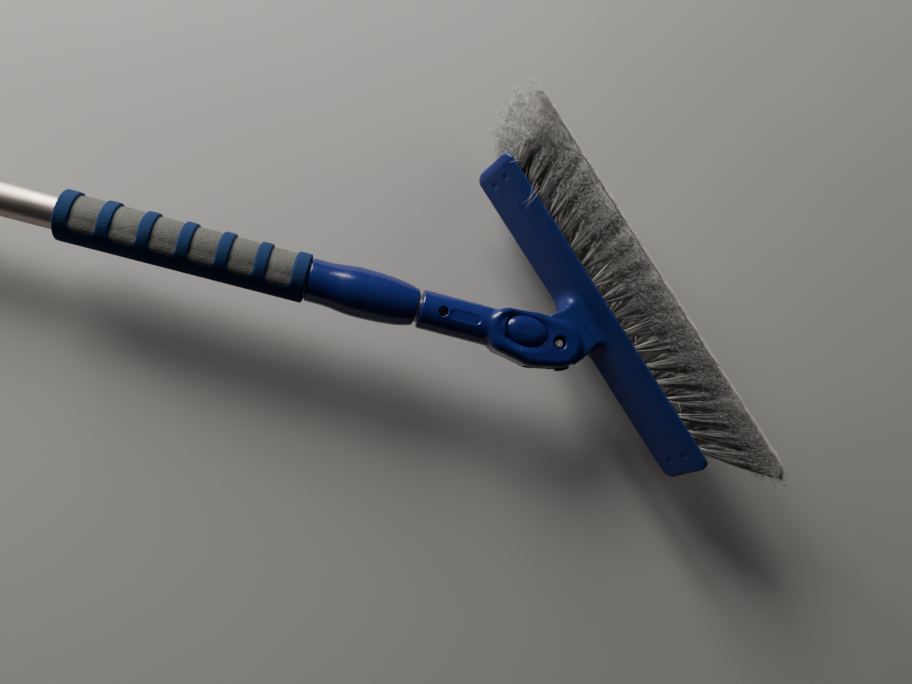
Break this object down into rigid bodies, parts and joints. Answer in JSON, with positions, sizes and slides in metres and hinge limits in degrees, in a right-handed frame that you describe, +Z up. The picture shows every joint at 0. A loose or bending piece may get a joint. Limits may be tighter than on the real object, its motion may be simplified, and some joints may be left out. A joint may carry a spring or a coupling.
{
  "type": "telescopic soft brush broom",
  "caption": "Telescopic pole with twist-lock collar and foam grip, carrying a long soft-bristle brush head that swivels on a push-button knuckle.",
  "frame": {"origin": "centre of the box's underside: the ground under the middle of the part as it lies", "axes": "+X along the pole's shadow on the ground, towards the brush head; +Z up"},
  "size_m": [1.2887, 0.2932, 0.0837],
  "materials": {
    "polished_tube": "polished",
    "grey_foam": "matte",
    "blue_foam": "matte",
    "blue_gloss_plastic": "gloss",
    "blue_block_plastic": "satin gloss",
    "dark_plastic": "matte",
    "white_acetal": "smooth",
    "zinc_screw": "bright zinc",
    "spring_steel": "plain",
    "grey_bristle": "translucent split-tip fibre",
    "brass_wire": "plain"
  },
  "bodies": {
    "pole": {"outer_tube": "polished_tube", "grip_core": "grey_foam", "grip_sleeve": "blue_foam", "thread_sleeve": "dark_plastic", "collet": "dark_plastic", "end_cap": "blue_gloss_plastic"},
    "collar": {"lock_collar": "blue_gloss_plastic"},
    "slider": {"guide_bush": "white_acetal"},
    "neck": {"inner_tube": "polished_tube", "neck_housing": "blue_gloss_plastic", "neck_screw": "zinc_screw", "pivot_screw": "zinc_screw", "pivot_bush": "white_acetal", "pivot_washer": "zinc_screw", "pivot_nut": "zinc_screw", "button_spring": "spring_steel"},
    "button": {"release_button": "blue_gloss_plastic"},
    "head": {"brush_block": "blue_block_plastic", "bristle_row_1": "grey_bristle", "bristle_row_2": "grey_bristle", "bristle_row_3": "grey_bristle", "bristle_row_4": "grey_bristle", "bristle_row_5": "grey_bristle", "tuft_staples": "brass_wire"}
  },
  "joints": [
    {"name": "telescope", "type": "slide", "parent": "pole", "child": "slider", "axis": [0.9987, 0, 0.0517], "range_m": [0, 0.65]},
    {"name": "tube_turn", "type": "hinge", "parent": "slider", "child": "neck", "pos_m": [0.42934, -0.07037, 0.06819], "axis": [0.9987, 0, 0.0517], "continuous": true},
    {"name": "collar_twist", "type": "hinge", "parent": "pole", "child": "collar", "pos_m": [0.42934, -0.07037, 0.06819], "axis": [0.9987, 0, 0.0517], "range_deg": [0, 90]},
    {"name": "release_button", "type": "slide", "parent": "neck", "child": "button", "axis": [0.0517, 0.0548, -0.9972], "range_m": [0, 0.0042], "stiffness_N_per_m": 900, "springref_m": -0.003, "deforming": ["button_spring"]},
    {"name": "head_swivel", "type": "hinge", "parent": "neck", "child": "head", "pos_m": [0.42934, -0.07037, 0.06819], "axis": [-0.0517, -0.0548, 0.9972], "range_deg": [-136.6, 43.4]}
  ]
}
